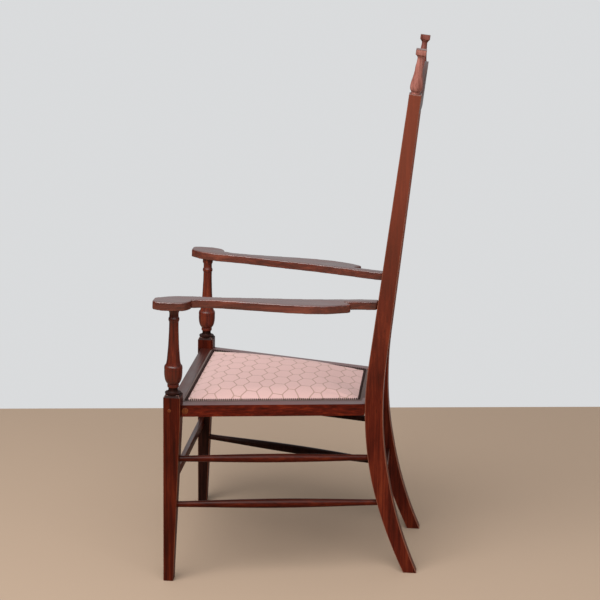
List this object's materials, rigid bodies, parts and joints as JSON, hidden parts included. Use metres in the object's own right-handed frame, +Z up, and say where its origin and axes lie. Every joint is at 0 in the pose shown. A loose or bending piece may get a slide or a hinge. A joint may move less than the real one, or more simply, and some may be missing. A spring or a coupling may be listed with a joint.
{
  "type": "fireside armchair",
  "caption": "High-backed fireside armchair in dark mahogany with turned arm supports, finials, swept back legs and a pink trellis-cloth seat.",
  "frame": {"origin": "on the floor, midway across the chair and midway along its depth", "axes": "+X towards the sitter's left, -Y the way the sitter faces, +Z up"},
  "size_m": [0.5546, 0.6024, 1.2447],
  "materials": {
    "mahogany": "satin",
    "pale_hardwood": "matte",
    "plug_wood": "satin",
    "screw_steel": "satin",
    "blued_steel": "satin",
    "jute_webbing": "matte",
    "hessian_cloth": "matte",
    "stuffing": "matte",
    "trellis_cloth": "matte",
    "gimp": "matte"
  },
  "bodies": {
    "root": {"front_leg_left": "mahogany", "front_leg_right": "mahogany", "rear_post_left": "mahogany", "rear_post_right": "mahogany", "finial_left": "mahogany", "finial_right": "mahogany", "arm_left": "mahogany", "arm_right": "mahogany", "front_seat_rail": "mahogany", "rear_seat_rail": "mahogany", "side_seat_rail_left": "mahogany", "side_seat_rail_right": "mahogany", "front_stretcher": "mahogany", "rear_stretcher": "mahogany", "upper_side_stretcher_left": "mahogany", "upper_side_stretcher_right": "mahogany", "lower_side_stretcher_left": "mahogany", "lower_side_stretcher_right": "mahogany", "crest_rail": "mahogany", "lower_back_rail": "mahogany", "back_slats": "mahogany", "corner_blocks": "pale_hardwood", "joint_screws": "screw_steel", "screw_plugs": "plug_wood", "webbing_lengthwise": "jute_webbing", "webbing_crosswise": "jute_webbing", "webbing_tacks": "blued_steel", "hessian": "hessian_cloth", "seat_stuffing": "stuffing", "seat_cover": "trellis_cloth", "gimp_braid": "gimp"}
  },
  "joints": []
}
